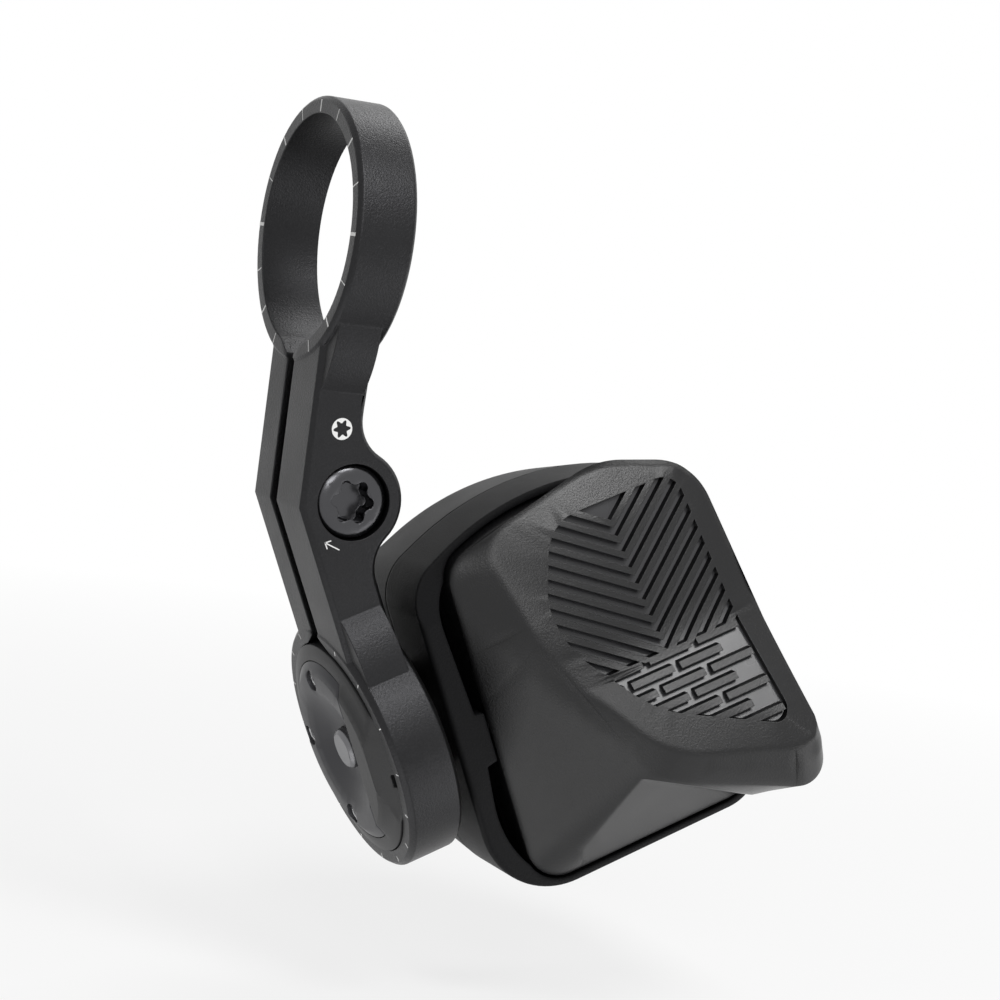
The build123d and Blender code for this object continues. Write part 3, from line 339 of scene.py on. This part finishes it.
def finish_mark(name, material):
    """Gives the shape being edited a thickness, puts it on the front of the shank and finishes it."""
    bpy.ops.mesh.select_all(action="SELECT")
    bpy.ops.mesh.extrude_region_move(TRANSFORM_OT_translate={"value": (0, -mark_height * MM, 0)})
    bpy.ops.mesh.select_all(action="SELECT")
    bpy.ops.mesh.normals_make_consistent(inside=False)
    bpy.ops.object.mode_set(mode="OBJECT")
    bpy.ops.object.transform_apply(location=True, rotation=True, scale=True)
    piece = bpy.context.object
    piece.name = name
    piece.data.materials.append(material)
    take_over(piece, "clamp_body", "clamp_metal")


def drive_symbol(name, place, radius, material):
    """Disc with a six-pointed opening on the front of the shank, the sign for the bolt's drive."""
    bpy.ops.object.select_all(action="DESELECT")
    bpy.ops.mesh.primitive_circle_add(vertices=72, radius=radius * MM, fill_type="NGON",
                                      location=(place[0] * MM, -shank_face * MM, place[1] * MM),
                                      rotation=(math.pi / 2, 0, 0))
    bpy.ops.object.transform_apply(location=False, rotation=True, scale=False)
    bpy.ops.object.mode_set(mode="EDIT")
    bpy.ops.mesh.select_all(action="SELECT")
    bpy.ops.mesh.inset(thickness=radius * drive_rim * MM)
    bpy.ops.mesh.delete(type="ONLY_FACE")
    bpy.ops.object.mode_set(mode="OBJECT")
    for vertex in bpy.context.object.data.vertices:
        if vertex.co.length < radius * (1 - drive_rim / 2) * MM:
            turn = math.atan2(vertex.co.z, vertex.co.x)
            wave = math.cos(6 * (turn - drive_turn))
            share = drive_mean + drive_wave * wave + drive_point * wave * wave
            vertex.co *= radius * share * MM / vertex.co.length
    bpy.ops.object.mode_set(mode="EDIT")
    finish_mark(name, material)


def arrow_mark(name, tail, tip, width, barb, material):
    """Arrow on the front of the shank from tail to tip, with a head of two short barbs."""
    way = Vector((tip[0] - tail[0], 0, tip[1] - tail[1]))
    back = -way.normalized() * barb
    strokes = []
    for start, reach, turn in ((tail, way, 0), (tip, back, arrow_barb_turn), (tip, back, -arrow_barb_turn)):
        reach = Matrix.Rotation(math.radians(turn), 3, "Y") @ reach
        middle = Vector((start[0], -shank_face, start[1])) + reach / 2
        bpy.ops.object.select_all(action="DESELECT")
        bpy.ops.mesh.primitive_plane_add(size=1.0, location=middle * MM, rotation=(math.pi / 2, 0, 0))
        stroke = bpy.context.object
        bpy.ops.object.transform_apply(location=False, rotation=True, scale=False)
        along = reach.normalized()
        deep = Vector((0, 1, 0))
        turned = Matrix((along * (reach.length + width), deep, along.cross(deep) * width))
        stroke.data.transform((turned.transposed() * MM).to_4x4())
        strokes.append(stroke)
    bpy.ops.object.select_all(action="DESELECT")
    for stroke in strokes:
        stroke.select_set(True)
    bpy.context.view_layer.objects.active = strokes[0]
    bpy.ops.object.join()
    bpy.ops.object.mode_set(mode="EDIT")
    finish_mark(name, material)


class FinishSettings(PropertyGroup):
    """Colours and edge sizes of the controller."""

    clamp_colour: FloatVectorProperty(name="Clamp", description="Anodised colour of the clamp",
                                      subtype="COLOR", size=4, default=linear("#2d2d2e"))
    mark_colour: FloatVectorProperty(name="Marks", description="Colour of the laser marks",
                                     subtype="COLOR", size=4, default=linear("#c9c9c8"))
    housing_colour: FloatVectorProperty(name="Housing", description="Colour of the pod's shells",
                                        subtype="COLOR", size=4, default=linear("#101011"))
    paddle_colour: FloatVectorProperty(name="Paddle", description="Colour of the rocker paddle",
                                       subtype="COLOR", size=4, default=linear("#101011"))
    plate_colour: FloatVectorProperty(name="Boss plate", description="Anodised colour of the plate",
                                      subtype="COLOR", size=4, default=linear("#3a3a3c"))
    edge_round: FloatProperty(name="Edge rounding", description="Rounding of the clamp's machined edges",
                              subtype="DISTANCE", precision=5, default=0.12 * MM, min=0.02 * MM, max=0.4 * MM)
    crease_round: FloatProperty(name="Crease rounding", description="Softness of the paddle's creases",
                                subtype="DISTANCE", precision=5, default=1.1 * MM, min=0.1 * MM, max=2 * MM)


class StageSettings(PropertyGroup):
    """Camera and lights of the studio."""

    azimuth: FloatProperty(name="Azimuth", description="Camera turn about the vertical",
                           subtype="ANGLE", default=math.radians(-26.71))
    elevation: FloatProperty(name="Elevation", description="Camera height angle",
                             subtype="ANGLE", default=math.radians(4.866))
    roll: FloatProperty(name="Roll", description="Camera turn about its own axis",
                        subtype="ANGLE", default=math.radians(7.704))
    distance: FloatProperty(name="Distance", description="Camera distance from the bar bore",
                            subtype="DISTANCE", default=247.325 * MM)
    lens: FloatProperty(name="Lens", description="Focal length in millimetres",
                        subtype="DISTANCE_CAMERA", default=92.45)
    shift: FloatVectorProperty(name="Aim", description="Bar bore's place right of and above the middle",
                               subtype="TRANSLATION", size=2, default=(-15.963 * MM, 25.738 * MM))
    lamp_power: FloatProperty(name="Lamp power", description="Power of a lamp whose share is 1",
                              subtype="POWER", default=0.68)


class SHIFTER_OT_clamp(Operator):
    """Finish the clamp and its bolt, and cut the marks"""

    bl_idname = "shifter.clamp"
    bl_label = "Clamp and bolt"

    def execute(self, context):
        settings = context.scene.shifter_finish
        # Black-anodised aluminium, bead blasted: a soft sheen with a fine, even grain
        metal = grained("bead blasted anodised aluminium", settings.clamp_colour, 0.38, metallic=1.0,
                        grain_mm=0.2, grain_depth=0.05, variation=0.2, soft_mm=0.1)
        # Turned steel under black oxide: dark, with a tight highlight
        bolt = grained("black oxide steel", linear("#4c4c4e"), 0.22, metallic=1.0, grain_mm=0.2,
                       grain_depth=0.003, variation=0.05, soft_mm=0.12)
        # The laser lays the light oxide bare, matt and pale
        laser = grained("laser marked anodising", settings.mark_colour, 0.6, grain_mm=0.1,
                        grain_depth=0.002, variation=0.05)
        rounded_copy("clamp", "clamp_body", "clamp_metal", metal, settings.edge_round / MM)
        rounded_copy("clamp_bolt", "clamp_body", "bolt_steel", bolt, 0.06, reshape=narrow_head)

        ring_end = Vector((-1, 0, 0))
        spots = []
        for step in mark_steps:
            width = quarter_mark if abs(step) == 4 else even_mark if step % 2 == 0 else odd_mark
            spots.append((step * mark_step, width))
        ring_marks("bar_ring_marks", ring_end * bar_face * MM, ring_end, Vector((0, 0, 1)),
                   *bar_mark_span, spots, "clamp_body", laser)
        fine = [(step * mark_step, pod_mark) for step in mark_steps]
        ring_marks("pod_ring_marks", pod_centre - pod_across * pod_face * MM, -pod_across, -pod_up,
                   *pod_mark_span, fine, "clamp_body", laser)
        drive_symbol("drive_symbol", drive_place, drive_radius, laser)
        arrow_mark("turn_arrow", arrow_tail, arrow_tip, arrow_width, arrow_barb, laser)
        return {"FINISHED"}


class SHIFTER_OT_boss(Operator):
    """Finish the swivel boss with its plate, screws and button"""

    bl_idname = "shifter.boss"
    bl_label = "Boss and button"

    def execute(self, context):
        settings = context.scene.shifter_finish
        # Moulded with glass in it: dull, with a slightly rough skin
        nylon = grained("glass filled nylon", settings.housing_colour, 0.45, specular=0.3,
                        grain_mm=0.2, grain_depth=0.02, soft_mm=0.15)
        # Pressed and anodised: even and satin, a shade lighter than the clamp
        plate = grained("satin anodised aluminium", settings.plate_colour, 0.42, metallic=1.0,
                        grain_mm=0.1, grain_depth=0.004, variation=0.05, soft_mm=0.12)
        # Turned and passivated: bright, with a tight highlight
        steel = grained("turned stainless steel", linear("#a5a5a6"), 0.2, metallic=1.0, grain_mm=0.2,
                        grain_depth=0.002, variation=0.04)
        # Milled and left bare: grey, with a broad highlight
        button = grained("machined aluminium", linear("#6c6c6e"), 0.34, metallic=1.0, grain_mm=0.1,
                         grain_depth=0.004, variation=0.04, soft_mm=0.15)
        rounded_copy("swivel_boss", "pod", "boss_body", nylon, 0.08)
        rounded_copy("boss_plate", "pod", "plate_metal", plate, 0.06)
        rounded_copy("boss_screws", "pod", "screw_steel", steel, 0.06)
        rounded_copy("function_button", "button", "button_metal", button, 0.08)
        return {"FINISHED"}


class SHIFTER_OT_housing(Operator):
    """Finish the pod's shells, covers and screws"""

    bl_idname = "shifter.housing"
    bl_label = "Pod housing"

    def execute(self, context):
        settings = context.scene.shifter_finish
        # Moulded against a spark-eroded tool: an even, fine, slightly sparkling grain
        nylon = grained("spark textured nylon", settings.housing_colour, 0.44, specular=0.06,
                        grain_mm=0.2, grain_depth=0.04, variation=0.2, soft_mm=0.5)
        # Cold headed and plated: bright, faintly uneven
        steel = grained("pan head steel", linear("#8d8d90"), 0.26, metallic=1.0, grain_mm=0.2,
                        grain_depth=0.002, variation=0.04)
        for node in ("bezel", "back_shell", "battery_cover"):
            rounded_copy(node, "pod", "housing_plastic", nylon, 0.1)
        for node in ("shell_screws", "cover_screws", "pivot_pin"):
            dress(node, steel)
        return {"FINISHED"}


class SHIFTER_OT_rocker(Operator):
    """Finish the thumb rocker with its grip pad"""

    bl_idname = "shifter.rocker"
    bl_label = "Rocker"

    def execute(self, context):
        settings = context.scene.shifter_finish
        # Satin moulded face whose creases are rounded; the pad keeps crisp ribs
        nylon = grained("satin moulded nylon", settings.paddle_colour, 0.31, specular=0.34,
                        grain_mm=0.2, grain_depth=0.025, variation=0.15, soft_mm=settings.crease_round / MM,
                        soft_attribute="softness")
        # The grooves' floors come from a mirror-finished tool and are glossier; their lighter colour is painted
        # highlight, standing for the light they catch
        polished_painted_highlight = grained("polished moulded nylon", linear("#343436"), 0.27, specular=0.4, grain_mm=0.15,
                           grain_depth=0.003, variation=0.1)
        paddle = rounded_copy("rocker_paddle", "rocker", "paddle_plastic", nylon, reshape=slope_band)
        mesh = paddle.data
        mesh.materials.append(polished_painted_highlight)
        softness = mesh.attributes.new("softness", "FLOAT", "POINT")
        for vertex in mesh.vertices:
            softness.data[vertex.index].value = 1.0 if pad_drop(vertex.co) is None else rib_softness
        # Groove floors that face out take the lighter nylon, whose colour is painted highlight
        for face in mesh.polygons:
            drop = pad_drop(face.center)
            if drop is not None and groove_floor[0] < drop < groove_floor[1]:
                if face.normal.dot(pod_out) > groove_facing:
                    face.material_index = 1
        # Rolled thread, zinc plated: bright, a little duller than the other screws
        steel = grained("thread forming screw steel", linear("#8d8d90"), 0.3, metallic=1.0, grain_mm=0.2,
                        grain_depth=0.002, variation=0.04)
        dress("paddle_screw", steel)
        # Moulded in a polished tool: waxy, with a soft highlight
        acetal = grained("moulded acetal", linear("#4c4c4e"), 0.45, ior=1.48, grain_mm=0.3, grain_depth=0.004,
                         variation=0.05)
        dress("rocker_carrier", acetal)
        return {"FINISHED"}


class SHIFTER_OT_inside(Operator):
    """Finish the parts inside the pod"""

    bl_idname = "shifter.inside"
    bl_label = "Inner parts"

    def execute(self, context):
        # Moulded acetal of the sliding parts and the cup: waxy, with a soft highlight
        acetal = grained("inner acetal", linear("#606063"), 0.45, ior=1.48, grain_mm=0.3, grain_depth=0.004,
                         variation=0.05)
        # Pressed silicone: matt
        rubber = grained("silicone rubber", linear("#202021"), 0.7, ior=1.41, grain_mm=0.2, grain_depth=0.006)
        # Printed lacquer over the glass weave: glossy, a little uneven in tone
        mask = grained("solder mask on glass epoxy", linear("#1c5a33"), 0.3, grain_mm=0.4, grain_depth=0.004,
                       variation=0.15)
        # Moulded thermoset: dull grey
        thermoset = grained("moulded switch body", linear("#7c7c7e"), 0.5, grain_mm=0.2, grain_depth=0.004,
                            variation=0.06)
        # Tinned sheet: pale, with a soft highlight
        tin = grained("tinned sheet steel", linear("#c9c9c8"), 0.3, metallic=1.0, grain_mm=0.5,
                      grain_depth=0.003, variation=0.06)
        # Nickel plate on a pressed can: bright and slightly warm
        nickel = grained("nickel plated steel", linear("#cfcdc8"), 0.24, metallic=1.0, grain_mm=0.5,
                         grain_depth=0.002, variation=0.05)
        # Rolled spring brass: yellow, with a fine highlight
        brass = grained("spring brass", linear("#c9a35a"), 0.28, metallic=1.0, grain_mm=0.5,
                        grain_depth=0.002, variation=0.06)
        finishes = {
            "cell_cup": acetal, "upper_plunger": acetal, "lower_plunger": acetal,
            "button_seal": rubber, "shell_gasket": rubber, "cover_gasket": rubber,
            "upper_plunger_seal": rubber, "lower_plunger_seal": rubber,
            "circuit_board": mask, "button_board": mask,
            "button_switch": thermoset, "upper_switch": thermoset, "lower_switch": thermoset,
            "radio_shield": tin, "coin_cell": nickel,
            "cell_contact_base": brass, "cell_contact_side": brass,
        }
        for node, finish in finishes.items():
            dress(node, finish)
        return {"FINISHED"}


def background_rays(tree):
    """Socket that is 1 for rays that see the white background: camera, glossy and transmission rays."""
    path = add_node(tree, "ShaderNodeLightPath")
    seen = add_node(tree, "ShaderNodeMath", {"operation": "MAXIMUM"},
                    {0: path.outputs["Is Camera Ray"], 1: path.outputs["Is Glossy Ray"]})
    return add_node(tree, "ShaderNodeMath", {"operation": "MAXIMUM"},
                    {0: seen.outputs[0], 1: path.outputs["Is Transmission Ray"]}).outputs[0]


def set_camera(settings):
    """Puts the camera at its angle, and returns its right, top and back axes."""
    azimuth, elevation, roll = settings.azimuth, settings.elevation, settings.roll
    back = Vector((math.sin(azimuth) * math.cos(elevation), -math.cos(azimuth) * math.cos(elevation),
                   math.sin(elevation)))
    level = Vector((math.cos(azimuth), math.sin(azimuth), 0))
    upright = back.cross(level)
    right = level * math.cos(roll) + upright * math.sin(roll)
    top = upright * math.cos(roll) - level * math.sin(roll)
    place = back * settings.distance - right * settings.shift[0] - top * settings.shift[1]
    camera = bpy.data.cameras.new("Camera")
    camera.lens = settings.lens
    camera.sensor_width = 36.0
    camera.clip_start = 0.01
    camera_object = bpy.data.objects.new("Camera", camera)
    bpy.context.scene.collection.objects.link(camera_object)
    turn = Matrix((right, top, back)).transposed().to_4x4()
    camera_object.matrix_world = Matrix.Translation(place) @ turn
    bpy.context.scene.camera = camera_object
    return right, top, back


def hang_lamp(name, aim, distance, size, power):
    """Hangs a square softbox in a direction from the object's middle, turned towards it."""
    light = bpy.data.lights.new(name, "AREA")
    light.shape = "SQUARE"
    light.size = size
    light.energy = power * (distance / lamp_reach) ** 2
    lamp = bpy.data.objects.new(name, light)
    bpy.context.scene.collection.objects.link(lamp)
    lamp.location = object_middle + aim * distance
    lamp.rotation_mode = "QUATERNION"
    lamp.rotation_quaternion = aim.to_track_quat("Z", "Y")


def lay_floor():
    """Lays the pale floor, which reads as plain white away from the object and keeps its shadow."""
    bpy.ops.object.select_all(action="DESELECT")
    bpy.ops.mesh.primitive_plane_add(size=floor_size, location=(0, 0, floor_height))
    floor = bpy.context.object
    floor.name = "floor"
    # The low lamps shine through the floor, which still takes the object's shadow
    floor.visible_shadow = False
    material = bpy.data.materials.new("pale floor")
    material.use_nodes = True
    tree = material.node_tree
    tree.nodes.clear()
    diffuse = add_node(tree, "ShaderNodeBsdfDiffuse", {"Color": linear("#f4f4f4")})
    glow = add_node(tree, "ShaderNodeEmission", {"Strength": 1.0})
    # Near the object some of the floor's white is light that falls on it, so that the shadow shows
    place = add_node(tree, "ShaderNodeTexCoord").outputs["Object"]
    away = add_node(tree, "ShaderNodeVectorMath", {"operation": "LENGTH"}, {0: place})
    share = add_node(tree, "ShaderNodeMapRange", {
        "From Min": shadow_reach[0], "From Max": shadow_reach[1], "To Min": shadow_white, "To Max": 1.0,
    }, {"Value": away.outputs["Value"]})
    white = add_node(tree, "ShaderNodeMath", {"operation": "MULTIPLY"},
                     {0: background_rays(tree), 1: share.outputs["Result"]})
    mix = add_node(tree, "ShaderNodeMixShader", None,
                   {0: white.outputs[0], 1: diffuse.outputs[0], 2: glow.outputs[0]})
    add_node(tree, "ShaderNodeOutputMaterial", None, {"Surface": mix.outputs[0]})
    floor.data.materials.append(material)


def set_world():
    """Sets a white world that lights the object softly."""
    world = bpy.data.worlds.new("Studio")
    bpy.context.scene.world = world
    world.use_nodes = True
    tree = world.node_tree
    tree.nodes.clear()
    white = add_node(tree, "ShaderNodeBackground", {"Color": (1, 1, 1, 1), "Strength": 1.0})
    soft = add_node(tree, "ShaderNodeBackground", {"Color": (1, 1, 1, 1), "Strength": soft_light})
    mix = add_node(tree, "ShaderNodeMixShader", None,
                   {0: background_rays(tree), 1: soft.outputs[0], 2: white.outputs[0]})
    add_node(tree, "ShaderNodeOutputWorld", None, {"Surface": mix.outputs[0]})


class SHIFTER_OT_stage(Operator):
    """Set up the floor, the lights and the camera"""

    bl_idname = "shifter.stage"
    bl_label = "Studio"

    def execute(self, context):
        settings = context.scene.shifter_stage
        right, top, back = set_camera(settings)
        lamps = (
            # name, direction right, up and towards the camera, distance and size in metres, share of the power
            ("Low left softbox", (-0.4, -0.85, 0.34), 0.2, 0.07, 1.0),
            ("Far left softbox", (-0.74, -0.6, -0.1), 0.35, 0.14, 0.35),
            ("Low right softbox", (0.83, -0.56, 0.1), 0.35, 0.1, 0.8),
            ("Lower softbox", (0.46, -0.85, 0.25), 0.35, 0.1, 0.3),
            ("Top back softbox", (0.36, 0.8, -0.45), 0.35, 0.16, 0.5),
            ("Top front softbox", (0.42, 0.68, 0.6), 0.35, 0.12, 0.9),
            ("Front softbox", (0.2, 0.28, 0.93), 0.35, 0.1, 0.35),
        )
        for name, direction, distance, size, share in lamps:
            aim = (right * direction[0] + top * direction[1] + back * direction[2]).normalized()
            hang_lamp(name, aim, distance, size, settings.lamp_power * share)
        lay_floor()
        set_world()
        context.scene.view_settings.view_transform = "Standard"
        return {"FINISHED"}


class SHIFTER_PT_panel(Panel):
    """Sidebar panel with the controller's finishes and studio"""

    bl_idname = "SHIFTER_PT_panel"
    bl_label = "Shift Controller"
    bl_space_type = "VIEW_3D"
    bl_region_type = "UI"
    bl_category = "Shift Controller"

    def draw(self, context):
        for group in (context.scene.shifter_finish, context.scene.shifter_stage):
            for name in group.__annotations__:
                self.layout.prop(group, name)
        for operator in OPERATORS:
            self.layout.operator(operator.bl_idname)


OPERATORS = (
    SHIFTER_OT_stage,
    SHIFTER_OT_clamp,
    SHIFTER_OT_boss,
    SHIFTER_OT_housing,
    SHIFTER_OT_rocker,
    SHIFTER_OT_inside,
)
CLASSES = (FinishSettings, StageSettings, *OPERATORS, SHIFTER_PT_panel)


def register():
    for cls in CLASSES:
        bpy.utils.register_class(cls)
    bpy.types.Scene.shifter_finish = PointerProperty(type=FinishSettings)
    bpy.types.Scene.shifter_stage = PointerProperty(type=StageSettings)


def unregister():
    del bpy.types.Scene.shifter_stage
    del bpy.types.Scene.shifter_finish
    for cls in reversed(CLASSES):
        bpy.utils.unregister_class(cls)


def main():
    register()
    bpy.ops.shifter.stage()
    bpy.ops.shifter.clamp()
    bpy.ops.shifter.boss()
    bpy.ops.shifter.housing()
    bpy.ops.shifter.rocker()
    bpy.ops.shifter.inside()


if __name__ == "__main__":
    main()
